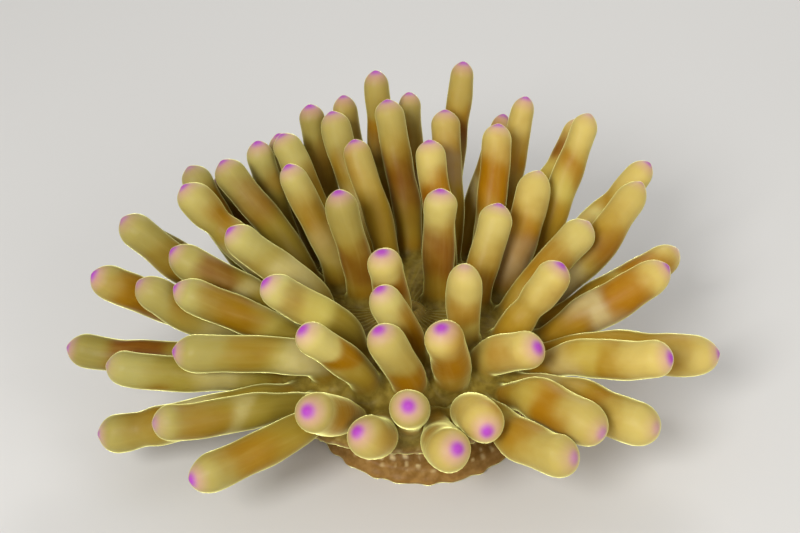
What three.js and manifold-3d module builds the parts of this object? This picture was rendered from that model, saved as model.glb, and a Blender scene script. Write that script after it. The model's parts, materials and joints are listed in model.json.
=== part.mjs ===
// A sea anemone with thick, blunt tentacles, as a life-size still model. Millimetres, +Z up.
// The origin is the middle of the pedal disc's underside, which stands on the floor.
// The trunk is four turned pieces. Each tentacle is a turned club that is bent along a
// centreline, from its root on the oral disc to its tip.
import * as THREE from "three";
import { mergeVertices } from "three/addons/utils/BufferGeometryUtils.js";
import Module from "manifold-3d";

const wasm = await Module();
wasm.setup();

// Driving dimensions of the trunk.
const FOOT_RADIUS = 28; // pedal disc, where it grips
const FOOT_HEIGHT = 3.5;
const WAIST_RADIUS = 24; // narrowest part of the column
const WAIST_HEIGHT = 8;
const CROWN_RADIUS = 40; // widest part, where the column meets the oral disc
const CROWN_MIDDLE = 15; // height of that widest part
const CROWN_TOP = 30; // height of the flat middle of the oral disc
const PLATEAU_RADIUS = 19; // where the oral disc starts to curve down to its margin
const MOUTH_LENGTH = 12; // the mouth is a long oval, with two lips around a slit
const MOUTH_WIDTH = 7;
const LIP_DEPTH = 1.2; // how far the lips are sunk in the disc
const THROAT_DEPTH = 5;
const CROWN_X = -6; // the column leans, so the crown's middle isn't over the foot's
const CROWN_Y = 6;
const GAP = 0.3; // clearance between one piece and the next
const TRUNK_SIDES = 32;

// Driving dimensions of a tentacle.
const SIDES = 8;
const SLIM_SIDES = 7; // sides of a tentacle less than this wide
const SLIM = 8;
const ROOT_SHARE = 0.92; // girth at the root, as a share of the widest girth
const ROOT_SPACE = 0.25; // room kept beside each root, where roots crowd
const WIDEST_AT = 0.5; // share of the length where a tentacle is widest
const TIP_ROUND = 1.25; // length of the rounded end, in widest radii
const LEAVE_SHARE = 0.34; // how far a tentacle keeps its first direction, as a share of its span
const WEB_RADIUS = 2; // fold of skin that joins the roots of a pair
const WEB_HEIGHT = 3.4;

// Colours.
const GOLD = new THREE.Color(0xd2a850);
const OLIVE = new THREE.Color(0xbfae5c);
const OCHRE = new THREE.Color(0xb9823a);

// The crown's pose in eight directions, anticlockwise from +X. For a tentacle of the outer whorl
// that is rooted in that direction: how far its tip runs out from its root, how far it rises
// above it, how far the water turns it from straight outwards, and its widest diameter.
const POSE = [
  { run: 40, rise: 16, turn: 20, width: 10.5 }, // right
  { run: 32, rise: 38, turn: 5, width: 8.6 }, // back right
  { run: 22, rise: 42, turn: 5, width: 7.4 }, // back
  { run: 18, rise: 34, turn: 0, width: 8 }, // back left
  { run: 34, rise: 24, turn: 0, width: 9 }, // left
  { run: 46, rise: 2, turn: -38, width: 9.2 }, // front left
  { run: 14, rise: 16, turn: -10, width: 9.6 }, // front
  { run: 32, rise: 6, turn: 0, width: 10.5 }, // front right
];

// The four whorls of tentacles, from the mouth outwards: how far their roots are from the
// crown's middle, how many there are, how many pairs share a root, the bearing of the first
// root, how fully they take up the pose, and how far the water carries their tips besides.
// The inner ones stand nearly upright.
const WHORLS = {
  inner: { radius: 11.5, count: 3, pairs: 0, start: 30, share: 0.15, drift: 4 },
  second: { radius: 20, count: 8, pairs: 0, start: 10, share: 0.35, drift: 9 },
  third: { radius: 29, count: 17, pairs: 1, start: 22, share: 0.6, drift: 9 },
  outer: { radius: 37, count: 36, pairs: 7, start: 5, share: 1, drift: 0 },
};
const DRIFT_BEARING = 150; // where the water carries them
const UPRIGHT_RISE = 30; // rise of a tentacle that takes up none of the pose
const INNER_WIDTH = 8.2; // and its widest diameter
const LAYER_RUN = 0.12; // neighbours lie in two layers: the lower one runs out further,
const LAYER_RISE = 4; // and rises less
const END_LEAN_SHARE = 0.88; // lean of a tentacle's end, as a share of the lean of its chord
const MOST_LEAN = 85;

// Each tentacle differs a little from its neighbours, by up to these amounts either way.
const SEED = 7;
const RUN_VARIES = 0.14;
const RISE_VARIES = 4;
const TURN_VARIES = 8;
const WIDTH_VARIES = 0.08;

const RADIANS = Math.PI / 180;

// The surface of the oral disc: its height, and how far its normal leans out.
function discHeight(radius) {
  const past = Math.max(0, radius - PLATEAU_RADIUS) / (CROWN_RADIUS - PLATEAU_RADIUS);
  return CROWN_MIDDLE + (CROWN_TOP - CROWN_MIDDLE) * Math.sqrt(Math.max(0, 1 - past * past));
}

function discLean(radius) {
  const run = CROWN_RADIUS - PLATEAU_RADIUS;
  const rise = CROWN_TOP - CROWN_MIDDLE;
  const out = Math.max(0, radius - PLATEAU_RADIUS) / (run * run);
  const up = (discHeight(radius) - CROWN_MIDDLE) / (rise * rise);
  return Math.atan2(out, up);
}

// A direction that leans from the vertical towards a bearing.
function leaning(lean, bearing) {
  const out = Math.sin(lean);
  return new THREE.Vector3(out * Math.cos(bearing), out * Math.sin(bearing), Math.cos(lean));
}

// How far a point is from the crown's middle, seen from above.
function reachOnCrown({ x, y }) {
  return Math.hypot(x - CROWN_X, y - CROWN_Y);
}

// A number between -1 and 1, from a sequence that is the same each time.
function vary() {
  return 2 * THREE.MathUtils.seededRandom() - 1;
}

// The crown's pose in any direction, eased between the eight that are given.
function poseAt(bearing) {
  const at = (bearing / 360) * POSE.length;
  const from = POSE[Math.floor(at) % POSE.length];
  const to = POSE[(Math.floor(at) + 1) % POSE.length];
  const eased = THREE.MathUtils.smoothstep(at % 1, 0, 1);
  const mixed = (key) => THREE.MathUtils.lerp(from[key], to[key], eased);
  return { run: mixed("run"), rise: mixed("rise"), turn: mixed("turn"), width: mixed("width") };
}

// The centreline and width of one tentacle as it would stand alone.
function plan(whorl, index) {
  const { radius, count, start, share, drift } = WHORLS[whorl];
  const bearing = start + (360 * index) / count;
  const pose = poseAt(bearing % 360);
  const layer = index % 2 === 0 ? 1 : -1;
  const run = pose.run * share * (1 + layer * LAYER_RUN + RUN_VARIES * vary());
  const fullRise = pose.rise - layer * LAYER_RISE + RISE_VARIES * vary();
  const rise = THREE.MathUtils.lerp(UPRIGHT_RISE, fullRise, share);
  const heading = (bearing + pose.turn + TURN_VARIES * vary()) * RADIANS;
  const width = THREE.MathUtils.lerp(INNER_WIDTH, pose.width, share) * (1 + WIDTH_VARIES * vary());

  const root = leaning(Math.PI / 2, bearing * RADIANS).multiplyScalar(radius);
  root.add(new THREE.Vector3(CROWN_X, CROWN_Y, 0)).setZ(discHeight(radius));
  const chord = leaning(Math.PI / 2, heading).multiplyScalar(run);
  chord.addScaledVector(leaning(Math.PI / 2, DRIFT_BEARING * RADIANS), drift).setZ(rise);
  const tip = root.clone().add(chord);
  const chordLean = Math.atan2(Math.hypot(chord.x, chord.y), rise);
  const endLean = Math.min(MOST_LEAN * RADIANS, END_LEAN_SHARE * chordLean);
  const endBearing = Math.atan2(chord.y, chord.x);
  const span = root.distanceTo(tip) * LEAVE_SHARE;
  const leave = root.clone().addScaledVector(leaning(discLean(radius), bearing * RADIANS), span);
  const arrive = tip.clone().addScaledVector(leaning(endLean, endBearing), -span);
  return { whorl, index, width, curve: new THREE.CubicBezierCurve3(root, leave, arrive, tip) };
}

// Radius of a tentacle at a share of its length.
function girth(share, { length, widest, root }) {
  const swell = THREE.MathUtils.smoothstep(share, 0, WIDEST_AT);
  const body = root + (widest - root) * swell;
  const round = (TIP_ROUND * widest) / length;
  const into = Math.max(0, (share - (1 - round)) / round);
  return body * Math.sqrt(Math.max(0, 1 - into * into));
}

// Tentacles press each other apart where they would share space, as soft bodies do.
// Each is a chain of stations with a radius. It keeps its length and its bend as well as it can,
// and stays clear of the floor and of the oral disc.
const STATIONS = 15;
const ROUNDS = 320;
const STIFFNESS = 0.3;
const CLEARANCE = 0.55;
const FLOOR_GAP = 0.8;

function layOut({ whorl, index, width, curve }, roots) {
  const points = curve.getSpacedPoints(STATIONS - 1);
  const length = curve.getLength();
  const widest = width / 2;
  const nearest = Math.min(...roots.filter((p) => p !== curve.v0).map((p) => p.distanceTo(curve.v0)));
  const root = Math.min(ROOT_SHARE * widest, nearest / 2 - ROOT_SPACE);
  const shape = { length, widest, root };
  const midpoint = (k) => points[k - 1].clone().add(points[k + 1]).multiplyScalar(0.5);
  const inside = (k) => k > 0 && k < STATIONS - 1;
  return {
    name: `${whorl}_${String(index + 1).padStart(2, "0")}`,
    first: curve.v1.clone().sub(curve.v0).normalize(),
    points,
    shape,
    spacing: length / (STATIONS - 1),
    radii: points.map((_, k) => girth(Math.min(0.95, k / (STATIONS - 1)), shape)),
    bends: points.map((p, k) => (inside(k) ? p.clone().sub(midpoint(k)) : new THREE.Vector3())),
  };
}

const between = new THREE.Vector3();

function pressApart(a, b) {
  for (let i = 0; i < STATIONS; i++) {
    for (let j = 0; j < STATIONS; j++) {
      if (i + j === 0) continue;
      between.subVectors(a.points[i], b.points[j]);
      const room = a.radii[i] + b.radii[j] + CLEARANCE;
      const apart = between.length();
      if (apart >= room || apart < 1e-6) continue;
      const push = (0.9 * (room - apart)) / apart;
      a.points[i].addScaledVector(between, (push * i) / (i + j));
      b.points[j].addScaledVector(between, (-push * j) / (i + j));
    }
  }
}

const outward = new THREE.Vector3();

function clearOfTrunk(point, radius) {
  const run = CROWN_RADIUS - PLATEAU_RADIUS;
  const rise = CROWN_TOP - CROWN_MIDDLE;
  const reach = reachOnCrown(point);
  const out = Math.max(0, reach - PLATEAU_RADIUS) / run;
  const up = Math.max(0, point.z - CROWN_MIDDLE) / rise;
  const size = Math.hypot(out, up);
  const spread = out / run / reach;
  outward.set((point.x - CROWN_X) * spread, (point.y - CROWN_Y) * spread, up / rise);
  const steep = outward.length() / size;
  const short = radius + CLEARANCE - (size - 1) / steep;
  if (short > 0) point.addScaledVector(outward.normalize(), short * 0.5);
}

const middle = new THREE.Vector3();
const link = new THREE.Vector3();

function keepShape({ points, spacing, radii, bends }, stiffness) {
  for (let k = 1; k < STATIONS - 1; k++) {
    middle.addVectors(points[k - 1], points[k + 1]).multiplyScalar(0.5).add(bends[k]);
    points[k].lerp(middle, stiffness);
  }
  for (let k = 1; k < STATIONS; k++) {
    link.subVectors(points[k], points[k - 1]);
    const stretch = link.length() / spacing - 1;
    if (k > 1) points[k - 1].addScaledVector(link, 0.25 * stretch);
    points[k].addScaledVector(link, -0.25 * stretch);
    if (k * spacing > radii[k] + 2) clearOfTrunk(points[k], radii[k]);
    points[k].z = Math.max(points[k].z, radii[k] + FLOOR_GAP);
  }
}

function settle(strands) {
  for (let round = 0; round < ROUNDS; round++) {
    strands.forEach((a, i) => strands.slice(i + 1).forEach((b) => pressApart(a, b)));
    const stiffness = STIFFNESS * (1 - round / ROUNDS);
    strands.forEach((strand) => keepShape(strand, stiffness));
  }
}

// A turned club: a profile from the middle of its flat root to the point of its tip, with rings
// at even steps along the body and closer ones round the end.
const BODY_RINGS = 6;
const SHORT_RINGS = 5; // rings of a tentacle shorter than this
const SHORT = 35;
const END_RINGS = [0.5, 0.87];

function club(shape) {
  const { length, widest } = shape;
  const round = (TIP_ROUND * widest) / length;
  const rings = length < SHORT ? SHORT_RINGS : BODY_RINGS;
  const shares = [];
  for (let k = 0; k < rings; k++) shares.push(((1 - round) * k) / (rings - 1));
  END_RINGS.forEach((into) => shares.push(1 - round * (1 - into)));
  const profile = shares.map((s) => new THREE.Vector2(girth(s, shape), s));
  profile.unshift(new THREE.Vector2(0, 0));
  profile.push(new THREE.Vector2(0, 1));
  return solid(new THREE.LatheGeometry(profile, 2 * widest < SLIM ? SLIM_SIDES : SIDES));
}

// Only positions are kept, so that shared corners merge and the surface is closed.
function solid(geometry) {
  geometry.deleteAttribute("normal");
  geometry.deleteAttribute("uv");
  return mergeVertices(geometry, 1e-5);
}

// Directions across a curve that turn no more than the curve does.
function crossFrames(curve, first, steps) {
  const frames = [];
  let tangent = first.clone().normalize();
  let across = new THREE.Vector3(0, 0, 1).cross(tangent);
  if (across.lengthSq() < 1e-3) across.set(1, 0, 0);
  across.projectOnPlane(tangent).normalize();
  for (let k = 0; k <= steps; k++) {
    const next = k === 0 ? tangent : curve.getTangentAt(k / steps);
    across = across.clone().projectOnPlane(next).normalize();
    frames.push({ across, along: next.clone().cross(across) });
    tangent = next;
  }
  return frames;
}

// Bends a club along a tentacle's centreline and rests its root on the oral disc.
const FRAME_STEPS = 60;

function tentacle(strand) {
  const curve = new THREE.CatmullRomCurve3(strand.points, false, "centripetal");
  const frames = crossFrames(curve, strand.first, FRAME_STEPS);
  const geometry = club(strand.shape);
  const position = geometry.getAttribute("position");
  for (let i = 0; i < position.count; i++) {
    const share = THREE.MathUtils.clamp(position.getY(i), 0, 1);
    const { across, along } = frames[Math.round(share * FRAME_STEPS)];
    const point = curve.getPointAt(share);
    point.addScaledVector(across, position.getZ(i));
    point.addScaledVector(along, position.getX(i));
    if (share === 0) restOnDisc(point);
    position.setXYZ(i, point.x, point.y, point.z);
  }
  return geometry;
}

function restOnDisc(point) {
  const reach = reachOnCrown(point);
  point.z = discHeight(reach) + GAP / Math.cos(discLean(reach));
}

// The fold of skin between the roots of a pair: a short round bar from one to the other.
function web(a, b) {
  const ends = [a, b].map(({ points, shape }) =>
    new THREE.CatmullRomCurve3(points, false, "centripetal").getPointAt(WEB_HEIGHT / shape.length),
  );
  const bar = new THREE.CylinderGeometry(WEB_RADIUS, WEB_RADIUS, ends[0].distanceTo(ends[1]), 6);
  const turn = new THREE.Quaternion().setFromUnitVectors(
    new THREE.Vector3(0, 1, 0),
    ends[1].clone().sub(ends[0]).normalize(),
  );
  bar.applyQuaternion(turn);
  bar.translate(...ends[0].clone().add(ends[1]).multiplyScalar(0.5).toArray());
  return solid(bar);
}

// Joins closed pieces into one.
function join(geometries) {
  const joined = geometries
    .map((geometry) => {
      const vertProperties = new Float32Array(geometry.getAttribute("position").array);
      const triVerts = new Uint32Array(geometry.getIndex().array);
      return new wasm.Manifold(new wasm.Mesh({ numProp: 3, vertProperties, triVerts }));
    })
    .reduce((all, one) => all.add(one))
    .getMesh();
  const geometry = new THREE.BufferGeometry();
  geometry.setAttribute("position", new THREE.BufferAttribute(joined.vertProperties, 3));
  geometry.setIndex(new THREE.BufferAttribute(joined.triVerts, 1));
  return geometry;
}

const anemone = new THREE.Group();

function add(name, geometry, color, roughness) {
  const material = new THREE.MeshStandardMaterial({ color, roughness, metalness: 0 });
  const mesh = new THREE.Mesh(geometry, material);
  mesh.name = name;
  anemone.add(mesh);
}

// A piece turned about the axis, from rows of [radius, height].
function turned(rows) {
  const profile = rows.map(([radius, height]) => new THREE.Vector2(radius, height));
  return solid(new THREE.LatheGeometry(profile, TRUNK_SIDES).rotateX(Math.PI / 2));
}

// The column leans, so each height of it is shifted towards the crown's middle.
function leaned(geometry) {
  const position = geometry.getAttribute("position");
  for (let i = 0; i < position.count; i++) {
    const share = (position.getZ(i) - FOOT_HEIGHT) / (CROWN_MIDDLE - GAP - FOOT_HEIGHT);
    position.setX(i, position.getX(i) + share * CROWN_X);
    position.setY(i, position.getY(i) + share * CROWN_Y);
  }
  return geometry;
}

// The pedal disc: a flat sole with a rounded rim.
add(
  "pedal_disc",
  turned([
    [0, 0],
    [FOOT_RADIUS - 0.8, 0],
    [FOOT_RADIUS, 1],
    [FOOT_RADIUS - 1.5, FOOT_HEIGHT - GAP],
    [0, FOOT_HEIGHT - GAP],
  ]),
  OCHRE,
  0.6,
);

// The column: a short trunk that flares to the margin.
add(
  "column",
  leaned(
    turned([
      [0, FOOT_HEIGHT],
      [FOOT_RADIUS - 1.8, FOOT_HEIGHT],
      [WAIST_RADIUS + 0.6, FOOT_HEIGHT + 1.8],
      [WAIST_RADIUS, WAIST_HEIGHT],
      [WAIST_RADIUS + 5, WAIST_HEIGHT + 3],
      [CROWN_RADIUS - 1.5, CROWN_MIDDLE - GAP],
      [0, CROWN_MIDDLE - GAP],
    ]),
  ),
  OCHRE,
  0.6,
);

// The oral disc: a domed cushion with the mouth's hollow in its middle.
const throat = MOUTH_WIDTH / 2 - 1.6;
const shoulder = [0.45, 0.75, 0.92].map((past) => {
  const radius = PLATEAU_RADIUS + past * (CROWN_RADIUS - PLATEAU_RADIUS);
  return [radius, discHeight(radius)];
});
add(
  "oral_disc",
  turned([
    [0, CROWN_MIDDLE],
    [CROWN_RADIUS - 1.2, CROWN_MIDDLE],
    [CROWN_RADIUS, CROWN_MIDDLE + 1.2],
    ...shoulder.reverse(),
    [PLATEAU_RADIUS, CROWN_TOP],
    [MOUTH_LENGTH / 2 + 0.7, CROWN_TOP],
    [MOUTH_LENGTH / 2 + 0.4, CROWN_TOP - LIP_DEPTH],
    [throat, CROWN_TOP - LIP_DEPTH],
    [throat * 0.7, CROWN_TOP - THROAT_DEPTH],
    [0, CROWN_TOP - THROAT_DEPTH],
  ]).translate(CROWN_X, CROWN_Y, 0),
  GOLD,
  0.5,
);

// The mouth: one oval lip round the slit, set in the disc's hollow.
const lip = new THREE.TorusGeometry(1, 0.22, 5, 16);
add("mouth", solid(lip), OLIVE, 0.5);
anemone.children.at(-1).scale.set(MOUTH_LENGTH / 2.44, MOUTH_WIDTH / 2.44, 4.6);
anemone.children.at(-1).position.set(CROWN_X, CROWN_Y, CROWN_TOP - LIP_DEPTH + GAP + 1);

// The tentacles, golden near the mouth and greener at the margin.
THREE.MathUtils.seededRandom(SEED);
const crown = Object.entries(WHORLS).flatMap(([whorl, { count }]) =>
  Array.from({ length: count }, (_, index) => plan(whorl, index)),
);
const roots = crown.map(({ curve }) => curve.v0);
const strands = crown.map((one) => layOut(one, roots));
settle(strands);

for (const [whorl, { count, pairs }] of Object.entries(WHORLS)) {
  const ring = strands.filter(({ name }) => name.startsWith(whorl));
  const color = GOLD.clone().lerp(OLIVE, Object.keys(WHORLS).indexOf(whorl) / 3);
  const firsts = Array.from({ length: pairs }, (_, k) => Math.floor(((k + 0.5) * count) / pairs));
  ring.forEach((strand, index) => {
    if (firsts.includes(index - 1)) return;
    if (!firsts.includes(index)) {
      add(`tentacle_${strand.name}`, tentacle(strand), color, 0.45);
      return;
    }
    const twin = ring[index + 1];
    const both = join([tentacle(strand), web(strand, twin), tentacle(twin)]);
    add(`tentacles_${strand.name}_and_${twin.name.slice(-2)}`, both, color, 0.45);
  });
}

export default anemone;
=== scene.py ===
# %% [markdown]
# # A sea anemone with thick golden tentacles
#
# The animal is soft, wet flesh all over, with no hard piece anywhere. In life its foot, column,
# oral disc and tentacles are one continuous skin. The solid model divides that body into named
# pieces, so here they are read back, made smooth and fine, and grown together into one skin.
#
# Lengths below are in millimetres, as a model maker would measure them. They become metres
# only where a mesh is handed to Blender.

# %% Load the frame
import json
import math

import bmesh
import bpy
import numpy as np
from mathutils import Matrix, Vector
from mathutils.bvhtree import BVHTree

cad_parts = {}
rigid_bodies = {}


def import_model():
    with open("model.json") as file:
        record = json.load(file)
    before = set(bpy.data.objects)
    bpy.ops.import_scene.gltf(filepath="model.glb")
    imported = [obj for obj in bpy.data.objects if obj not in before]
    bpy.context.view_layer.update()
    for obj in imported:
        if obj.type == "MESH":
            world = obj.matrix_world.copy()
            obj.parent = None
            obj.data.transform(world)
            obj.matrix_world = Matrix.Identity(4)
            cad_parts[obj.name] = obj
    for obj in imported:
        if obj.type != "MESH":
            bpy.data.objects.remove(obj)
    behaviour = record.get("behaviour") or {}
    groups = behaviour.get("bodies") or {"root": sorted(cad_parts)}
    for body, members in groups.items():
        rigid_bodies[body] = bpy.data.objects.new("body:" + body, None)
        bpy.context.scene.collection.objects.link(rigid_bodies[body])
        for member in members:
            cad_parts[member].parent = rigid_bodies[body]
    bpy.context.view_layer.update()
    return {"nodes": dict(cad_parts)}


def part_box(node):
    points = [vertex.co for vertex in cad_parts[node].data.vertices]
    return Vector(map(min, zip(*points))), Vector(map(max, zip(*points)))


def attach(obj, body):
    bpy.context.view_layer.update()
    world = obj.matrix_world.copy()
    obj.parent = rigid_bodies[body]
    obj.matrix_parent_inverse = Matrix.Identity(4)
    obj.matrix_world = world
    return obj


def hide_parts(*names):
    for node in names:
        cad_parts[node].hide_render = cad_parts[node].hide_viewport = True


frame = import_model()
nodes = frame["nodes"]
MM = 0.001
tentacle_nodes = sorted(name for name in nodes if name.startswith("tentacle"))
print(len(nodes), "pieces in the frame,", len(tentacle_nodes), "of them hold tentacles")

# %% [markdown]
# ## Reading the tentacles back
#
# Each tentacle in the frame is a bent club with 7 or 8 sides: rings of corners from the root to
# a single corner at the tip. Smoothing that coarse mesh with a subdivision modifier would be the
# quick way, but it shrinks the ends and says nothing about where along the tentacle a point is.
# Walking the rings from the tip gives both the centreline and the girth, and the markings need
# the place along the tentacle anyway.
#
# A tip is a corner where many edges meet and which is far from the oral disc. Spreading out
# from it edge by edge reaches one ring after another. Where two tentacles share a fold of skin
# at their roots, the rings stop at the fold, and the root's own middle corner takes over.

# %% Find the tips and walk the rings
MERGE_M = 4e-6  # corners closer than this, in metres, are one
TIP_SIDES = (7, 8)  # sides of a tentacle, which all meet at its tip
ROOT_WITHIN = 0.8  # a root's middle is this near the disc, in millimetres
TIP_BEYOND = 3  # and a tip is further off than this
FEWEST_RINGS = 4
ROOT_GAP = 2.5  # a root's middle further than this from the last ring is a ring of its own


def corners_of(piece):
    """The mesh of a piece with shared corners merged, in millimetres."""
    mesh = bmesh.new()
    mesh.from_mesh(nodes[piece].data)
    bmesh.ops.remove_doubles(mesh, verts=mesh.verts, dist=MERGE_M)
    bmesh.ops.scale(mesh, vec=(1 / MM,) * 3, verts=mesh.verts)
    mesh.verts.ensure_lookup_table()
    return mesh


disc_low, disc_high = (np.array(corner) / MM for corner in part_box("oral_disc"))
# The column leans, so the crown's middle isn't the foot's.
crown_x, crown_y = ((disc_low + disc_high) / 2)[:2]
disc_mesh = corners_of("oral_disc")
disc_surface = BVHTree.FromBMesh(disc_mesh)


def off_the_disc(point):
    return disc_surface.find_nearest(point)[3]


def ring_walk(pole):
    """The rings round a pole, as lists of corners, for as long as they are whole."""
    sides = len(pole.link_edges)
    seen, ring, rings = {pole}, [pole], []
    while True:
        out = {edge.other_vert(corner) for corner in ring for edge in corner.link_edges} - seen
        if len(out) != sides:
            return rings
        rings.append(out)
        seen |= out
        ring = out


def middle_and_girth(ring):
    at = np.array([corner.co for corner in ring])
    middle = at.mean(0)
    return middle, np.linalg.norm(at - middle, axis=1).mean()


def unevenness(pole):
    """How much the edges round a corner differ in length, as a share of their mean."""
    spokes = [edge.calc_length() for edge in pole.link_edges]
    return np.std(spokes) / np.mean(spokes)


def root_bearing(club):
    """Bearing of a tentacle's root round the crown's middle."""
    x, y = club[0][-1][:2]
    return math.atan2(y - crown_y, x - crown_x) % math.tau


def clubs_in(piece, how_many):
    """(centres, girths) of each tentacle in a piece, from tip to root."""
    mesh = corners_of(piece)
    poles = [corner for corner in mesh.verts if len(corner.link_edges) in TIP_SIDES]
    # A fold of skin has corners of its own near the disc, but only a root's middle has even edges.
    on_disc = [pole for pole in poles if off_the_disc(pole.co) < ROOT_WITHIN]
    roots = sorted(on_disc, key=unevenness)[:how_many]
    found = []
    for pole in poles:
        rings = ring_walk(pole) if off_the_disc(pole.co) > TIP_BEYOND else []
        if len(rings) < FEWEST_RINGS:
            continue
        middles, girths = map(list, zip(*map(middle_and_girth, rings)))
        last = Vector(middles[-1])
        heading = (last - Vector(middles[-2])).normalized()
        root = min(roots, key=lambda r: (r.co - last - heading * (r.co - last).length).length)
        roots.remove(root)
        if (root.co - last).length > ROOT_GAP:
            middles.append(np.array(root.co))
            girths.append(np.mean([edge.calc_length() for edge in root.link_edges]))
        found.append((np.array([pole.co, *middles]), np.array([0, *girths])))
    mesh.free()
    return found


clubs = []
for piece in tentacle_nodes:
    whorl, *numbers = [part for part in piece.split("_")[1:] if part != "and"]
    found = clubs_in(piece, len(numbers))
    # The tentacles of a pair are numbered anticlockwise, as the whole whorl is.
    found.sort(key=root_bearing)
    clubs += [(f"{whorl}_{number}", *club) for number, club in zip(numbers, found)]
print(len(clubs), "tentacles read back, with", min(len(c[1]) for c in clubs), "to",
      max(len(c[1]) for c in clubs), "rings each")

# %% [markdown]
# ## What makes each tentacle its own
#
# No two tentacles of an anemone are alike: some end in a full round head with a shrug below it,
# others run out to a slim point. Each character is worked out from where the tentacle stands in
# the crown, and a seeded random draw makes neighbours differ.

# %% Characters
rng = np.random.default_rng(12)
NECKED = 0.1  # share of the tentacles with a shrug below the head
DIM_TIP = 0.16  # share of the tentacles with a dim violet tip
WEST_EDGE, WEST_FADE = -20, 12  # where the left side of the crown begins, and how softly
SLIM_MOST = 0.3  # how much the slimmest tip narrows, as a share of its girth
TO_RIGHT, TO_BACK_RIGHT, TO_BACK = 0, 40, 90  # bearings round the crown, in degrees
BLUNT, BLUNT_LEFT_LESS = 0.95, 0.15  # how round a head is, and how much less so on the left
OLIVE, OLIVE_LEFT_MORE = 0.15, 0.7
# A tentacle with little pale gets the dull head, whose darker paint is partly painted shade; outer tentacles
# and those away from the right get less pale.
PALE_OUTER, PALE_INNER, PALE_RIGHT_MORE = 0.2, 0.5, 0.8


def towards(point, bearing):
    """How far a root lies towards a bearing in degrees: 1 towards it, 0 on the far side."""
    angle = math.atan2(point[1] - crown_y, point[0] - crown_x) - math.radians(bearing)
    return 0.5 + 0.5 * math.cos(angle)


characters = {}
for name, centres, girths in clubs:
    tip, root = centres[0], centres[-1]
    leftness = 1 / (1 + math.exp((tip[0] - WEST_EDGE) / WEST_FADE))
    back_right = towards(root, TO_BACK_RIGHT) ** 3 if name.startswith("outer") else 0.0
    pale_least = PALE_OUTER if name.startswith("outer") else PALE_INNER
    pale_side = PALE_RIGHT_MORE * towards(root, TO_RIGHT) ** 2 + pale_least
    usual_blunt = BLUNT - BLUNT_LEFT_LESS * leftness
    necked = rng.uniform() < NECKED
    characters[name] = {
        "blunt": 1.0 if necked else float(np.clip(usual_blunt + rng.normal(0, 0.1), 0, 1)),
        "neck_at": float(rng.uniform(11, 15)) if necked else 0.0,
        "neck": float(rng.uniform(0.1, 0.2)) if necked else 0.0,
        "slim": SLIM_MOST * back_right * float(rng.uniform(0.4, 1)),
        "seed": float(rng.uniform(0, 100)),
        "olive": float(np.clip(OLIVE + OLIVE_LEFT_MORE * leftness + rng.normal(0, 0.12), 0, 1)),
        "pale": float(np.clip(pale_side + rng.normal(0.1, 0.15), 0, 1)),
        "violet": float(rng.uniform(0.2, 0.65)) if rng.uniform() < DIM_TIP else 1.0,
    }
print(sum(own["neck"] > 0 for own in characters.values()), "tentacles have a shrug below the head,",
      sum(own["violet"] < 1 for own in characters.values()), "have a dim tip")

# %% [markdown]
# ## Markings
#
# The colour of a tentacle follows its length. From the tip down there is a violet spot, a pale
# golden head, a saddle of amber that often keeps to one side, and amber again at the root.
# Some tentacles have brown, lime or a cream band below the saddle as well. A seeded draw
# decides which, with brown likelier at the back of the crown, where the extra brown is painted
# shade, and lime likelier at its right, where the extra lime is painted glow of light through
# the flesh.
#
# Each corner of the skin carries how much of each colour it has, as plain numbers. Painting a
# picture onto the skin would also do, but numbers that follow the tentacle's own length stay
# in place however it bends.

# %% Where the colours sit on a tentacle
LEFT, RIGHT = (-1.0, 0.0, 0.0), (1.0, 0.0, 0.0)
FRONT, TOP, UNDER = (0.0, -0.8, 0.6), (0.0, 0.0, 1.0), (0.0, 0.0, -1.0)
ALL = (0.0, 0.0, 0.0)
AMBER, BROWN_AND_SHADE, CREAM, LIME_AND_GLOW = "amber", "brown", "cream", "lime"
SIDES = (LEFT, RIGHT, RIGHT, TOP, FRONT, UNDER, ALL, ALL, ALL)  # likelier ones come up more often
# Brown is partly real marking and partly painted shade: the back of the crown, which lies in shade, gets
# more of it.
BROWN_CHANCE, BROWN_SHADE_BACK_MORE = 0.3, 0.5
# Lime is partly real colour and partly painted glow of light through the flesh, more often at the right of
# the crown.
LIME_GLOW_RIGHT_CHANCE = 0.6
CREAM_CHANCE = 0.55
CLEAR_OF_ROOT = 8  # a cream band's middle is at least this far from the root


def marks_of(root, length):
    """Marks down one tentacle. Each is a colour, how far its middle is from the tip, half its
    length, the side it keeps to, and its strength."""
    saddle = rng.uniform(8, 19)
    keeps_to = SIDES[rng.integers(len(SIDES))]
    marks = [(AMBER, saddle, rng.uniform(3, 8), keeps_to, rng.uniform(0.4, 1))]
    # Painted shade: the chance of brown grows towards the back of the crown.
    if rng.uniform() < BROWN_CHANCE + BROWN_SHADE_BACK_MORE * towards(root, TO_BACK):
        shade = saddle + rng.uniform(1, 9)
        marks.append((BROWN_AND_SHADE, shade, rng.uniform(4, 7), ALL, rng.uniform(0.4, 0.8)))
    # Painted glow: the chance of lime grows towards the right of the crown.
    if rng.uniform() < LIME_GLOW_RIGHT_CHANCE * towards(root, TO_RIGHT):
        glow = saddle + rng.uniform(4, 9)
        marks.append((LIME_AND_GLOW, glow, rng.uniform(3, 5), ALL, rng.uniform(0.3, 0.7)))
    band = saddle + rng.uniform(8, 14)
    if band < length - CLEAR_OF_ROOT and rng.uniform() < CREAM_CHANCE:
        marks.append((CREAM, band, rng.uniform(3, 6), ALL, rng.uniform(0.15, 0.6)))
    return marks


marks = {name: marks_of(centres[-1], np.linalg.norm(centres[0] - centres[-1]))
         for name, centres, girths in clubs}
print(sum(map(len, marks.values())), "marks on", len(marks), "tentacles")

# %% [markdown]
# ## From marks to numbers on the skin
#
# A mark is full in its middle and fades out towards its ends. If it keeps to a side, it also
# fades round the tentacle. Its edge slants and wavers, because no marking on living flesh
# ends in a ruled line.

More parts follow.
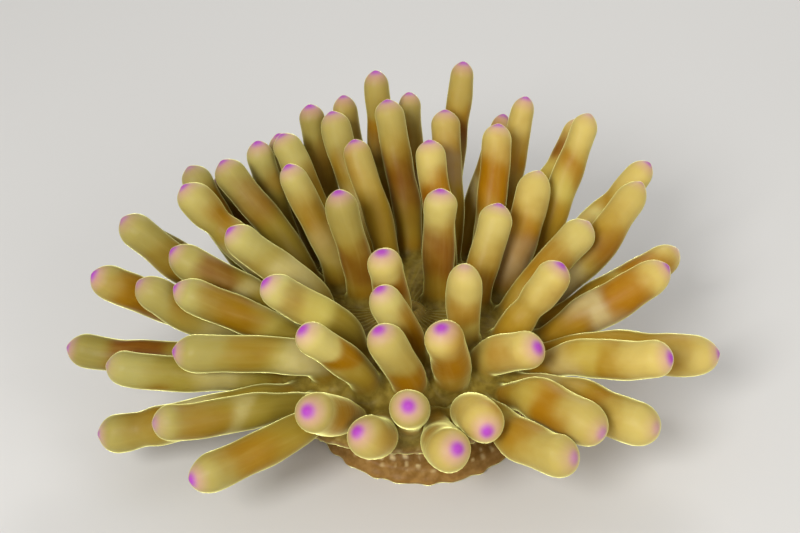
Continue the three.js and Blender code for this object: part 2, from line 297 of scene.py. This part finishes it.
# %% What each corner of a tentacle carries
FADE_FROM, FADE_TO = 0.3, 1.9  # where a mark starts to fade and where it ends, in half lengths
SIDE_FROM, SIDE_TO = -0.55, 0.75  # how far a corner must face a mark's side to show it
SLANT, SWAY = 1.5, 2.0  # how far a mark's edge slants to its side, and sways, in millimetres
EDGE_WAVER = 0.9  # how far the edge wavers besides
ROOT_AMBER = 0.8  # strength of the amber at the root
ROOT_AMBER_PALE = 0.4  # how much of it a pale tentacle loses
ROOT_AMBER_FROM, ROOT_AMBER_TO = 1, 9  # heights at which it starts to fade, and ends


def ease_between(low, high, x):
    """0 below low, 1 above high, and smooth between."""
    u = np.clip((x - low) / (high - low), 0, 1)
    return u * u * (3 - 2 * u)


def waves(seed, at, turn):
    """Gentle unevenness, from a few long waves along and round a tentacle."""
    total = 0
    for turns, length, size in ((1, 23, 1.0), (2, 17, 0.7), (0, 13, 0.8), (3, 11, 0.4)):
        seed = (seed * 7.13 + 3.7) % 100
        total = total + size * np.sin(turns * turn + math.tau * at / length + seed)
    return total


def markings(name, at, length, girth, spokes, turn):
    """The numbers that each corner of a tentacle carries, ring by ring."""
    own = characters[name]
    past_tip = (length - at)[:, None] + EDGE_WAVER * waves(own["seed"] + 5, at[:, None], turn[None, :])
    amounts = {colour: 0 * past_tip for colour in (AMBER, BROWN_AND_SHADE, CREAM, LIME_AND_GLOW)}
    for colour, where, half, side, strength in marks[name]:
        facing = spokes @ np.array(side)
        reach = ease_between(SIDE_FROM, SIDE_TO, facing) if any(side) else 1
        slanted = past_tip + SLANT * facing + SWAY * np.sin(turn + own["seed"] + where)
        patch = 1 - ease_between(FADE_FROM * half, FADE_TO * half, np.abs(slanted - where))
        amounts[colour] = np.maximum(amounts[colour], strength * patch * reach)
    root = 1 - ease_between(ROOT_AMBER_FROM, ROOT_AMBER_TO, at)[:, None]
    root_strength = ROOT_AMBER - ROOT_AMBER_PALE * own["pale"]
    amounts[AMBER] = np.maximum(amounts[AMBER], root_strength * root)
    grain = np.stack([np.cos(turn)[None, :] + 0 * past_tip, np.sin(turn)[None, :] + 0 * past_tip,
                      at[:, None] + own["seed"] + 0 * past_tip], -1)
    return {
        **amounts,
        "up_tentacle": np.maximum(at, 0)[:, None] + 0 * past_tip,
        "from_tip": np.hypot(length - at, girth)[:, None] + 0 * past_tip,
        "olive": own["olive"] + 0 * past_tip,
        "pale": own["pale"] + 0 * past_tip,
        "violet": own["violet"] + 0 * past_tip,
        "grain": grain,
    }


def spread_out(rings):
    """Ring by ring numbers as one row for each corner, in the order of the corners."""
    rings = np.asarray(rings)
    body = rings[:-1].reshape(-1, *rings.shape[2:])
    return np.concatenate([body, rings[-1:, 0], rings[:1, 0]])


print("a quarter of the way from low to high, the ease is at", ease_between(0, 1, 0.25))

# %% [markdown]
# ## Smooth tubes
#
# A smooth tentacle is a tube swept along its centreline. Between the rings that were read back,
# the centreline and the girth follow one cubic curve, so the tube passes through every ring.
# A curve object with a bevel could do this too, but a mesh built by hand can close its end with
# a proper dome and carry a number for each point, and both are needed.
#
# The end is a dome that is round on some tentacles and long and slim on others, with a nipple
# at its very tip. The root dips under the disc so that the two skins can be joined.

# %% Curves through points
def through(knots, values, at):
    """A cubic curve through values at the knots, sampled at given places."""
    knots, values = np.asarray(knots, float), np.asarray(values, float)
    slopes = np.gradient(values, knots, axis=0)
    k = np.clip(np.searchsorted(knots, at, side="right") - 1, 0, len(knots) - 2)
    span = knots[k + 1] - knots[k]
    u = (at - knots[k]) / span
    shape = (slice(None),) + (None,) * (values.ndim - 1)
    u, span = u[shape], span[shape]
    return (
        values[k] * (1 + 2 * u) * (1 - u) ** 2
        + values[k + 1] * u * u * (3 - 2 * u)
        + slopes[k] * span * u * (1 - u) ** 2
        - slopes[k + 1] * span * u * u * (1 - u)
    )


def lengths_along(points):
    """How far each point is along the line through them all."""
    return np.concatenate([[0], np.cumsum(np.linalg.norm(np.diff(points, axis=0), axis=1))])


def turning_frames(points):
    """Tangents and two cross directions along a curve that turn no more than it does."""
    tangents = np.gradient(points, axis=0)
    tangents /= np.linalg.norm(tangents, axis=1)[:, None]
    across = np.cross(tangents[0], (0.0, 0.0, 1.0))
    if np.linalg.norm(across) < 1e-3:
        across = np.array((1.0, 0.0, 0.0))
    rows = []
    for tangent in tangents:
        across = across - tangent * (across @ tangent)
        across /= np.linalg.norm(across)
        rows.append(across)
    across = np.array(rows)
    return tangents, across, np.cross(tangents, across)


print("a curve through 0, 1 and 4 is at", round(float(through([0, 1, 2], [0, 1, 4], np.array([1.5]))[0]), 2),
      "halfway between the last two")

# %% [markdown]
# ## One tentacle
#
# A tentacle is rings of corners along its line, closer together in the dome. Its own numbers
# then shape it: how blunt the end is, whether there is a shrug below the head, and how much it
# slims towards the tip. A few long waves keep it from looking machined.

# %% One tentacle
ROUND_ABOUT = 28  # corners round a tentacle
STEP = 0.9  # distance between rings
DOME_RINGS = 14
DOME_LONG, DOME_SHORTER = 1.95, 0.87  # a slim dome's length in girths, and how much a blunt one loses
FULL_SLIM, FULL_ADDED = 1.75, 0.45  # how square the dome's curve is, and how much a blunt one adds
NECK_LENGTH = 2.6  # how far the shrug reaches either way
SINK = 2.5  # how far a root dips under the disc's surface
FLARE = 0.9  # how much wider a root spreads where it meets the disc
FLARE_HEIGHT = 1.0
NIPPLE = 0.35  # height of the point at the very tip
NIPPLE_RADIUS = 1.3
SLIM_REACH = 26  # how far from the tip a tentacle starts to narrow
WAVER = 0.028  # how unevenly a tentacle swells, as a share of its girth


def tentacle(name, centres, girths):
    """Corners and faces of one tentacle, the numbers its corners carry, and its length."""
    own = characters[name]
    centres, girths = centres[::-1], girths[::-1].copy()
    knots = lengths_along(centres)
    length = knots[-1]
    girths[-3:] = girths[-4]  # the dome is shaped below
    widest = girths.max()
    dome = widest * (DOME_LONG - DOME_SHORTER * own["blunt"])
    fullness = FULL_SLIM + FULL_ADDED * own["blunt"]

    body = np.linspace(-SINK, length - dome, round((length - dome + SINK) / STEP))
    into = np.sin(np.linspace(0, math.pi / 2, DOME_RINGS + 1))
    at = np.concatenate([body, length - dome + dome * into[1:]])
    root_heading = (centres[1] - centres[0]) - 0.5 * (centres[2] - 2 * centres[1] + centres[0])
    root_heading /= np.linalg.norm(root_heading)
    line = through(knots, centres, np.maximum(at, 0)) + np.minimum(at, 0)[:, None] * root_heading
    tangents, across, along = turning_frames(line)

    rise = np.clip((at - (length - dome)) / dome, 0, 1)
    girth = through(knots, girths, np.maximum(at, 0)) * np.sqrt(np.clip(1 - rise**fullness, 0, 1))
    girth = girth + FLARE * np.exp(-np.maximum(at, 0) / FLARE_HEIGHT)
    from_tip = length - at
    girth = girth * (1 - own["neck"] * np.exp(-(((from_tip - own["neck_at"]) / NECK_LENGTH) ** 2)))
    girth = girth * (1 - own["slim"] * ease_between(0, SLIM_REACH, SLIM_REACH - from_tip))
    nipple = NIPPLE * np.exp(-((girth / NIPPLE_RADIUS) ** 2)) * (rise > 0)
    line = line + nipple[:, None] * tangents

    turn = np.arange(ROUND_ABOUT) * math.tau / ROUND_ABOUT
    ease = np.clip(at / 6, 0, 1)[:, None]
    swell = 1 + WAVER * ease * waves(own["seed"], at[:, None], turn[None, :])
    spokes = np.cos(turn)[None, :, None] * across[:, None] + np.sin(turn)[None, :, None] * along[:, None]
    corners = line[:, None] + spokes * (girth[:, None] * swell)[..., None]
    skin_numbers = markings(name, at, length, girth, spokes, turn)
    skin_numbers = {key: spread_out(value) for key, value in skin_numbers.items()}
    corners = corners[:-1].reshape(-1, 3)

    rings = len(at) - 1
    here = np.arange(ROUND_ABOUT)
    there = (here + 1) % ROUND_ABOUT
    faces = []
    for k in range(rings - 1):
        low, high = k * ROUND_ABOUT, (k + 1) * ROUND_ABOUT
        faces += np.stack([low + here, low + there, high + there, high + here], 1).tolist()
    top, bottom = len(corners), len(corners) + 1
    last = (rings - 1) * ROUND_ABOUT
    faces += [[last + a, last + b, top] for a, b in zip(here, there)]
    faces += [[b, a, bottom] for a, b in zip(here, there)]
    corners = np.concatenate([corners, line[-1:], line[:1]])
    return corners, faces, skin_numbers, length


def mesh_object(name, corners, faces, numbers):
    """A piece of skin whose corners carry numbers for the finish to read."""
    mesh = bpy.data.meshes.new(name)
    mesh.from_pydata((np.asarray(corners) * MM).tolist(), [], faces)
    for key, values in numbers.items():
        values = np.asarray(values, np.float32)
        kind, slot = ("FLOAT_VECTOR", "vector") if values.ndim == 2 else ("FLOAT", "value")
        layer = mesh.attributes.new(key, kind, "POINT")
        layer.data.foreach_set(slot, values.ravel())
    mesh.update()
    return bpy.data.objects.new(name, mesh)


longest = 0
tube_collection = bpy.data.collections.new("tentacle_tubes")
for name, centres, girths in clubs:
    corners, faces, skin_numbers, length = tentacle(name, centres, girths)
    longest = max(longest, length)
    tube_collection.objects.link(mesh_object(name, corners, faces, skin_numbers))
bpy.context.scene.collection.children.link(tube_collection)

# %% [markdown]
# ## The trunk
#
# Foot, column and oral disc are turned shapes, so one profile goes round the axis. Real ones are
# never perfectly even: the column carries upright rows of small warts that feel sticky in life,
# with the grooves of the inner walls showing between them. The disc is finely rayed from the
# mouth outwards, and the mouth is a long slit between two grooved lips. All of these are small
# pushes in and out along the profile's own normal, worked out for each point.

# %% The profile, read off the turned pieces
def outline(piece, lean_from, lean_to):
    """Radius and height of the corners of a turned piece, about an axis that leans to the crown."""
    mesh = corners_of(piece)
    at = np.array([corner.co for corner in mesh.verts])
    mesh.free()
    lean = np.clip((at[:, 2] - lean_from) / (lean_to - lean_from), 0, 1)
    return np.hypot(at[:, 0] - lean * crown_x, at[:, 1] - lean * crown_y), at[:, 2]


column_low, column_high = (corner[2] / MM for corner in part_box("column"))
foot_radius = outline("pedal_disc", column_low, column_high)[0].max()
column_radii, column_heights = outline("column", column_low, column_high)
disc_radii, disc_heights = outline("oral_disc", column_low, column_high)
crown_radius, crown_top = disc_radii.max(), disc_heights.max()
crown_middle = disc_heights[disc_radii > 1].min()
waist_radius = column_radii[column_radii > 5].min()
waist_height = column_heights[np.isclose(column_radii, waist_radius, atol=0.05)].max()
plateau_radius = disc_radii[(disc_heights > crown_top - 0.01)].max()
mouth_low, mouth_high = (np.array(corner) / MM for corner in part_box("mouth"))
mouth_length, mouth_width = ((mouth_high - mouth_low) / 2)[:2]
print("foot", round(float(foot_radius), 1), "waist", round(float(waist_radius), 1), "crown",
      round(float(crown_radius), 1), "plateau", round(float(plateau_radius), 1), "top", crown_top)

# %% [markdown]
# ## Rings of the trunk
#
# The profile runs from the rim of the foot, up the column and over the shoulder to the mouth,
# and down into the throat. A smooth curve through its rows is sampled at even steps, which
# gives rings fine enough for the warts.

# %% Rings of the trunk
AROUND = 440  # corners round the trunk
RING_STEP = 0.75  # distance between rings
ROWS_OF_WARTS = 48
MARGIN_ROW = 11  # first row of the profile on the shoulder
LIP_ROW = 22  # row along the crest of the lips


def circle(radius, height):
    """A row of the profile that is as wide as it is long."""
    return radius, radius, height


def on_shoulder(degrees):
    """A row on the curve from the crown's margin up to the flat middle of the disc."""
    turn = math.radians(degrees)
    radius = plateau_radius + (crown_radius - plateau_radius) * math.cos(turn)
    return circle(radius, crown_middle + (crown_top - crown_middle) * math.sin(turn))


# Each row is one ring, as half its length, half its width, and its height. All are round
# but those of the mouth.
profile = [
    circle(foot_radius - 0.9, 0),
    circle(foot_radius - 0.2, 0.5),
    circle(foot_radius, 1.3),
    circle(foot_radius - 0.7, 2.5),
    circle(waist_radius + 2.8, 4.0),
    circle(waist_radius + 0.7, 5.8),
    circle(waist_radius, waist_height),
    circle(waist_radius + 1.8, waist_height + 2),
    circle(waist_radius + 6.6, waist_height + 4),
    circle(crown_radius - 4.4, crown_middle - 1.2),
    circle(crown_radius - 1, crown_middle + 0.2),
    *[on_shoulder(degrees) for degrees in (8, 20, 34, 48, 62, 76, 90)],
    circle(13, crown_top),
    (mouth_length + 2.6, mouth_width + 4.2, crown_top),
    (mouth_length + 1.0, mouth_width + 1.6, crown_top + 0.1),
    (mouth_length + 0.2, mouth_width + 0.6, crown_top + 0.9),
    (mouth_length - 0.6, mouth_width - 0.4, crown_top + 1.4),
    (mouth_length - 1.4, mouth_width - 1.6, crown_top + 0.8),
    (mouth_length - 2.0, mouth_width - 2.5, crown_top - 0.8),
    (mouth_length - 2.4, mouth_width - 3.0, crown_top - 3),
]
knots = lengths_along(np.array(profile))
ring_places = np.linspace(0, knots[-1], round(knots[-1] / RING_STEP) + 1)
rings = through(knots, profile, ring_places)
slope = np.gradient(rings[:, [0, 2]], ring_places, axis=0)
slope /= np.linalg.norm(slope, axis=1)[:, None]
outward = np.stack([slope[:, 1], -slope[:, 0]], 1)  # across the profile, away from the flesh
margin_place, lip_place = knots[MARGIN_ROW], knots[LIP_ROW]
print(len(rings), "rings of", AROUND, "corners; the margin is", round(margin_place), "mm up the wall")

# %% [markdown]
# ## Relief of the trunk
#
# Each point is pushed in or out by a sum of small effects: warts in staggered rows, the walls
# between them, broad lobes, rays on the disc, and grooves on the lips and the foot's rim. The
# rings are then leaned towards the crown's middle, as the column leans.

# %% Pushing the trunk's skin in and out
WART_SPACING = 2.1  # from one wart to the next up a row
WART_SIZE = 0.52
WART_VARIES = 0.16
WART_PALE = 2.2  # how strongly a wart takes its pale paint
WALL_DEPTH, LOBE_DEPTH, RAY_DEPTH = 0.12, 0.22, 0.13
LIP_DEPTH, LIP_GROOVES = 0.22, 26
RIM_DEPTH, RIM_GROOVES, RIM_FINE = 0.3, 24, 37  # the foot's rim has broad grooves and finer ones


def bump(x):
    """1 at 0, falling smoothly to 0 at 1."""
    return np.where(np.abs(x) < 1, (1 - np.minimum(x * x, 1)) ** 2, 0)


turn = np.arange(AROUND) * math.tau / AROUND
place = ring_places[:, None] + 0 * turn
around = turn[None, :] + 0 * place
height = rings[:, 2][:, None]
on_column = ease_between(4, 7, place) * (1 - ease_between(margin_place - 1, margin_place + 2, place))
on_disc = ease_between(margin_place + 3, margin_place + 8, place) * (
    1 - ease_between(lip_place - 4, lip_place - 2, place)
)

row = around * ROWS_OF_WARTS / math.tau
row_number = np.round(row)
ladder = place / WART_SPACING + 0.5 * (row_number % 2) + 0.15 * np.sin(row_number * 2.4)
rung = np.round(ladder)
shift = 0.13 * np.sin(row_number * 5.1 + rung * 3.3)
span_around = rings[:, 0][:, None] * math.tau / ROWS_OF_WARTS
wart_size = WART_SIZE + WART_VARIES * np.sin(row_number * 7.7 + rung * 4.1)
wart_reach = np.hypot((row - row_number - shift) * span_around, (ladder - rung) * WART_SPACING)
warts = bump(wart_reach / (1.6 * wart_size)) * wart_size
walls = np.cos(around * ROWS_OF_WARTS + math.pi)
lobes = np.sin(5 * around + 1.3) + 0.6 * np.sin(9 * around + 0.4 * place) + 0.5 * np.sin(14 * around)
above_rim = ease_between(0.5, 3, place)
below_margin = 1 - ease_between(margin_place, margin_place + 6, place)
rim_grooves = np.sin(around * RIM_GROOVES) + 0.4 * np.sin(around * RIM_FINE)
push = (
    on_column * (warts * (0.55 + 0.45 * ease_between(6, 16, place)) + WALL_DEPTH * walls)
    + LOBE_DEPTH * lobes * above_rim * below_margin
    + on_disc * RAY_DEPTH * np.cos(around * ROWS_OF_WARTS)
    + LIP_DEPTH * np.cos(around * LIP_GROOVES) * bump((place - lip_place) / 3.2)
    + RIM_DEPTH * rim_grooves * bump((place - 1.5) / 2.4)
)
half_length = rings[:, 0][:, None] + push * outward[:, 0][:, None]
half_width = rings[:, 1][:, None] + push * outward[:, 0][:, None]
height = np.maximum(height + push * outward[:, 1][:, None], 0)
height[0] = 0
lean = ease_between(column_low, column_high, height)
corners = np.stack([
    half_length * np.cos(around) + lean * crown_x,
    half_width * np.sin(around) + lean * crown_y,
    height,
], -1)
sole = [(0.0, 0.0, 0.0)]
throat = [(crown_x, crown_y, float(height[-1].mean()))]
count = corners[..., 0].size
here = np.arange(AROUND)
there = (here + 1) % AROUND
faces = []
for k in range(len(rings) - 1):
    low, high = k * AROUND, (k + 1) * AROUND
    faces += np.stack([low + here, low + there, high + there, high + here], 1).tolist()
faces += [[b, a, count] for a, b in zip(here.tolist(), there.tolist())]
last = (len(rings) - 1) * AROUND
faces += [[last + a, last + b, count + 1] for a, b in zip(here.tolist(), there.tolist())]
corners = np.concatenate([corners.reshape(-1, 3), sole, throat])
disc_share = ease_between(margin_place - 2, margin_place + 3, place)
skin_numbers = {
    "on_column": 1 - disc_share,
    "on_disc": disc_share,
    "wart": np.clip(warts * on_column * WART_PALE, 0, 1),
    "lip": bump((place - lip_place) / 5),
    "grain": np.zeros((*place.shape, 3)),
}
skin_numbers = {
    key: np.concatenate([value.reshape(count, *value.shape[2:]), value[:1, 0], value[-1:, 0]])
    for key, value in skin_numbers.items()
}
trunk = mesh_object("anemone_skin", corners, faces, skin_numbers)
bpy.context.scene.collection.objects.link(trunk)
print("trunk:", len(corners), "corners, widest", round(float(half_length.max()), 1), "mm")

# %% [markdown]
# ## Growing the tentacles onto the trunk
#
# The tubes dip into the disc, and a boolean union makes one closed skin of them all. Voxel
# remeshing would be simpler, but tentacles that lie less than a voxel apart would fuse, and
# in life they only touch. The union leaves a sharp crease round each root. Skin can't crease
# like that, so the corners near the creases are relaxed towards their neighbours afterwards.

# %% Union
def run_modifiers(piece):
    """Replace a piece's mesh by what its modifiers make of it."""
    graph = bpy.context.evaluated_depsgraph_get()
    made = bpy.data.meshes.new_from_object(piece.evaluated_get(graph))
    piece.modifiers.clear()
    piece.data = made


union = trunk.modifiers.new("grow", "BOOLEAN")
union.operation = "UNION"
union.operand_type = "COLLECTION"
union.collection = tube_collection
union.solver = "MANIFOLD"
run_modifiers(trunk)
for tube in list(tube_collection.objects):
    bpy.data.objects.remove(tube)
bpy.data.collections.remove(tube_collection)
skin = trunk
print("one skin of", len(skin.data.vertices), "corners and", len(skin.data.polygons), "faces")

# %% [markdown]
# ## Relaxing the creases
#
# A crease is an edge with a tentacle's corner at one end and the trunk's at the other. Corners
# near a crease move part of the way to the mean of their neighbours in each round, and less the
# further away they are.

# %% Relaxing the creases
RELAX_ROUNDS = 14
RELAX_REACH = 4  # how many edges away from a crease the skin still gives
RELAX_STEP = 0.6  # how far a corner moves in one round, as a share of the way
GIVE_SPREAD = 1.35  # how readily the give passes on to the neighbours

edges = np.empty(len(skin.data.edges) * 2, np.int64)
skin.data.edges.foreach_get("vertices", edges)
edges = edges.reshape(-1, 2)
at = np.empty(len(skin.data.vertices) * 3)
skin.data.vertices.foreach_get("co", at)
at = at.reshape(-1, 3)
own_tube = np.empty(len(at), np.float32)
skin.data.attributes["from_tip"].data.foreach_get("value", own_tube)
on_tube = own_tube > 0
neighbours = np.bincount(edges.ravel(), minlength=len(at))


def neighbour_mean(values):
    """The mean over each corner's neighbours."""
    total = np.bincount(edges[:, 0], values[edges[:, 1]], len(at))
    total += np.bincount(edges[:, 1], values[edges[:, 0]], len(at))
    return total / neighbours


crease = on_tube[edges[:, 0]] != on_tube[edges[:, 1]]
give = np.zeros(len(at))
give[edges[crease].ravel()] = 1
creases = int(give.sum())
for _ in range(RELAX_REACH):
    give = np.maximum(give, GIVE_SPREAD * neighbour_mean(give)).clip(0, 1)
for _ in range(RELAX_ROUNDS):
    middle = np.stack([neighbour_mean(at[:, axis]) for axis in range(3)], 1)
    at += RELAX_STEP * give[:, None] * (middle - at)
skin.data.vertices.foreach_set("co", at.ravel())
skin.data.polygons.foreach_set("use_smooth", [True] * len(skin.data.polygons))
skin.data.update()
print(creases, "corners lie on a crease, and", int((give > 0.05).sum()), "gave way")

# %% [markdown]
# ## The finish
#
# One material covers the whole skin, because the real skin has no border between tentacle,
# disc and column: the colours run into each other. It mixes paints by the numbers that the
# corners carry, breaks their edges up with noise, and lets light soak a few millimetres in.
# Sheen gives the pale rim that thin wet skin shows where it turns away.
#
# Writing shader maths as Python expressions keeps it readable. A small class wraps a socket,
# and each operator on it adds a Math node.

# %% Shader expressions
class Value:
    """A number, colour or vector that comes out of a node."""

    def __init__(self, tree, socket):
        self.tree, self.socket = tree, socket

    def _math(self, operation, *operands):
        return node(self.tree, "ShaderNodeMath", {"operation": operation}, dict(enumerate(operands)))

    def __add__(self, other):
        return self._math("ADD", self, other)

    def __radd__(self, other):
        return self._math("ADD", other, self)

    def __sub__(self, other):
        return self._math("SUBTRACT", self, other)

    def __rsub__(self, other):
        return self._math("SUBTRACT", other, self)

    def __mul__(self, other):
        return self._math("MULTIPLY", self, other)

    def __rmul__(self, other):
        return self._math("MULTIPLY", other, self)


def node(tree, kind, settings=None, inputs=None, output=0):
    """Add a node, with its settings first and then the values or links of its sockets."""
    made = tree.nodes.new(kind)
    for key, value in (settings or {}).items():
        setattr(made, key, value)
    for key, value in (inputs or {}).items():
        socket = made.inputs[key]
        if isinstance(value, Value):
            tree.links.new(value.socket, socket)
        else:
            socket.default_value = value
    return Value(tree, made.outputs[output]) if made.outputs else made


def paint(code):
    """A colour written as on a paint chart, in the linear light that shaders use."""
    shares = [int(code[k : k + 2], 16) / 255 for k in (0, 2, 4)]
    return (*[c / 12.92 if c < 0.04045 else ((c + 0.055) / 1.055) ** 2.4 for c in shares], 1.0)


print("the grey written 808080 is", round(paint("808080")[0], 3), "in linear light")

# %% [markdown]
# ## The skin's material
#
# Paints are laid one over another: golden flesh, the markings, then the violet tip. Disc and
# column have paints of their own, and everything blends by the numbers that the corners carry.
# Part of the paint is painted light: the dull heads, the brown at the back and the disc's dark
# olive are partly painted shade, and the lime at the right is partly painted glow.
# The sheen's tint is above 1 on purpose. No real surface sends back more light than it gets,
# so it isn't a physical value: it stands in for light that glows out through the thin edge.

# %% The skin's material
skin_material = bpy.data.materials.new("anemone_flesh")
skin_material.use_nodes = True
tree = skin_material.node_tree
tree.nodes.clear()


def carried(name, kind="Fac"):
    return node(tree, "ShaderNodeAttribute", {"attribute_name": name}, output=kind)


def eased(low, high, value):
    """0 below low, 1 above high, and smooth between."""
    inputs = {"Value": value, "From Min": low, "From Max": high}
    return node(tree, "ShaderNodeMapRange", {"interpolation_type": "SMOOTHSTEP"}, inputs)


def mixed(share, first, second):
    settings = {"data_type": "RGBA"}
    return node(tree, "ShaderNodeMix", settings, {"Factor": share, 6: first, 7: second}, 2)


def noise(vector, scale, detail=2.0, roughness=0.5):
    inputs = {"Vector": vector, "Scale": scale, "Detail": detail, "Roughness": roughness}
    return node(tree, "ShaderNodeTexNoise", inputs=inputs)


def stretched(vector, by):
    return node(tree, "ShaderNodeVectorMath", {"operation": "MULTIPLY"}, {0: vector, 1: by})


body = node(tree, "ShaderNodeTexCoord", output="Object")
grain = carried("grain", "Vector")
clouds = noise(body, 160)
mottle = noise(body, 520, 3)
streaks = noise(stretched(grain, (2.6, 2.6, 0.06)), 1.0, 3)
rings = noise(stretched(grain, (0.5, 0.5, 0.8)), 1.0, 2)

from_tip = carried("from_tip")
up_tentacle = carried("up_tentacle")
olive = carried("olive")


def patch(colour):
    """How much of a marking's colour shows, with its edge broken up a little."""
    return eased(0.0, 1.0, carried(colour) + (clouds - 0.5) * 0.3)


gold = mixed(olive, paint("A8821E"), paint("8E7E2C"))
# The dull head is darkened as painted shade, for tentacles with little pale.
shaded_dull_head = mixed(olive, paint("987A28"), paint("8A7E3C"))
pale_head = mixed(olive, paint("CCB462"), paint("BCB46C"))
head = mixed(carried("pale"), shaded_dull_head, pale_head)
flesh = mixed(eased(5, 20, from_tip + (clouds - 0.5) * 10), head, gold)
# Lime paint: partly real colour, partly painted glow of light through the flesh.
flesh = mixed(patch(LIME_AND_GLOW), flesh, paint("CCBE62"))
flesh = mixed(patch(AMBER), flesh, mixed(olive, paint("A46E00"), paint("8A6400")))
# Brown paint: real brown markings, and painted shade at the back of the crown.
flesh = mixed(patch(BROWN_AND_SHADE), flesh, paint("743A00"))
flesh = mixed(patch(CREAM), flesh, paint("DCD298"))
flesh = mixed(eased(0.45, 0.75, streaks) * 0.06, flesh, paint("DCCB78"))
violet = carried("violet")
flesh = mixed((1 - eased(1.2, 5.5, from_tip)) * violet * 0.55, flesh, paint("CC92A0"))
flesh = mixed((1 - eased(0.5, 2.7, from_tip)) * violet * 0.9, flesh, paint("A430B4"))
# The disc's olive-brown is kept dark as painted shade, so that the gaps between the roots read as shadow.
disc = mixed(eased(0.3, 0.7, mottle), paint("7A6622"), paint("948034"))
disc = mixed(carried("lip"), disc, paint("B8A055"))
column = mixed(eased(0.3, 0.7, mottle), paint("7E5A24"), paint("94703A"))
column = mixed(carried("wart"), column, paint("D2BC86"))
trunk_paint = mixed(carried("on_column"), disc, column)
colour = mixed(eased(0.2, 3.5, up_tentacle), trunk_paint, flesh)

relief = mottle * 0.35 + streaks * 0.3 + rings * 0.35
bumps = node(tree, "ShaderNodeBump", inputs={"Strength": 0.25, "Distance": 0.0006, "Height": relief})
surface = node(tree, "ShaderNodeBsdfPrincipled", {"subsurface_method": "RANDOM_WALK"}, {
    "Base Color": colour,
    "Roughness": 0.4 + clouds * 0.12,
    "Normal": bumps,
    "Subsurface Weight": 0.4,
    "Subsurface Radius": (1.0, 0.8, 0.4),
    "Subsurface Scale": 0.004,
    "Specular IOR Level": 0.14,
    "Sheen Weight": 1.0,
    "Sheen Roughness": 0.26,
    "Sheen Tint": (2.0, 2.0, 0.75, 1.0),
})
node(tree, "ShaderNodeOutputMaterial", inputs={"Surface": surface})
skin.data.materials.clear()
skin.data.materials.append(skin_material)
print(len(tree.nodes), "nodes in the finish")

# %% [markdown]
# ## Put the skin in the frame
#
# The one skin stands for every piece of the solid model, so that no seam shows.

# %% Put the skin in the frame
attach(skin, "root")
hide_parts(*nodes)
print("the skin replaces", len(nodes), "pieces")

# %% [markdown]
# ## Floor, light and camera
#
# The model stands on a plain pale floor. Light comes from a broad soft lamp above and to the
# left, a weaker one on the right, a third behind that lights the rims, and an even pale
# surround, so that a paint looks about as it is written.

# %% Stage
FLOOR_HALF = 4000  # half the floor's width
LAMPS_AIM = Vector((0, 0, 0.03))


def sheet(name, half, height):
    """A square that faces up, at a height."""
    corners = [(-half, -half, height), (half, -half, height), (half, half, height), (-half, half, height)]
    return mesh_object(name, corners, [(0, 1, 2, 3)], {})


floor = sheet("floor", FLOOR_HALF, 0)
floor_material = bpy.data.materials.new("studio_floor")
floor_material.use_nodes = True
floor_nodes = floor_material.node_tree.nodes
floor_nodes["Principled BSDF"].inputs["Base Color"].default_value = paint("DAD8D4")
floor_nodes["Principled BSDF"].inputs["Roughness"].default_value = 0.8
floor.data.materials.append(floor_material)
bpy.context.scene.collection.objects.link(floor)

world = bpy.data.worlds.new("surround")
world.use_nodes = True
world.node_tree.nodes["Background"].inputs["Color"].default_value = (1, 1, 1, 1)
world.node_tree.nodes["Background"].inputs["Strength"].default_value = 0.34
bpy.context.scene.world = world


def lamp(name, place, size, power):
    """A round soft lamp that points at the model."""
    light = bpy.data.lights.new(name, "AREA")
    light.shape, light.size, light.energy = "DISK", size, power
    stand = bpy.data.objects.new(name, light)
    stand.location = place
    aim = LAMPS_AIM - stand.location
    stand.rotation_euler = aim.to_track_quat("-Z", "Y").to_euler()
    bpy.context.scene.collection.objects.link(stand)


lamp("key", (-0.35, -0.75, 0.65), 0.4, 8.6)
lamp("fill", (0.5, -0.6, 0.5), 0.5, 2.0)
lamp("rim", (0.2, 0.8, 0.6), 0.4, 2.5)
print("a floor", 2 * FLOOR_HALF * MM, "m wide, and three lamps")

# %% [markdown]
# ## Camera
#
# The camera looks down at the crown. It is placed from a point in the crown, by an angle and a
# distance, and then turned a little left and up, so that the model sits low in the picture and
# right of its middle.

# %% Camera
CAMERA_HEIGHT_ANGLE = math.radians(37)
CAMERA_DISTANCE = 0.42
LENS = 73.6
TURN_RIGHT, TURN_UP = -0.014, 0.034
aim_at = Vector((0, 0, 0.031))
forward = Vector((0, math.cos(CAMERA_HEIGHT_ANGLE), -math.sin(CAMERA_HEIGHT_ANGLE)))
upward = Vector((0, math.sin(CAMERA_HEIGHT_ANGLE), math.cos(CAMERA_HEIGHT_ANGLE)))
camera = bpy.data.objects.new("camera", bpy.data.cameras.new("camera"))
camera.data.lens = LENS
camera.data.sensor_width = 36
camera.location = aim_at - forward * CAMERA_DISTANCE
look = forward + Vector((TURN_RIGHT, 0, 0)) + upward * TURN_UP
camera.rotation_euler = look.to_track_quat("-Z", "Y").to_euler()
camera.data.clip_start = 0.01
bpy.context.scene.collection.objects.link(camera)
bpy.context.scene.camera = camera
bpy.context.scene.view_settings.view_transform = "Standard"
print("camera", round(camera.location.z, 3), "m above the floor")
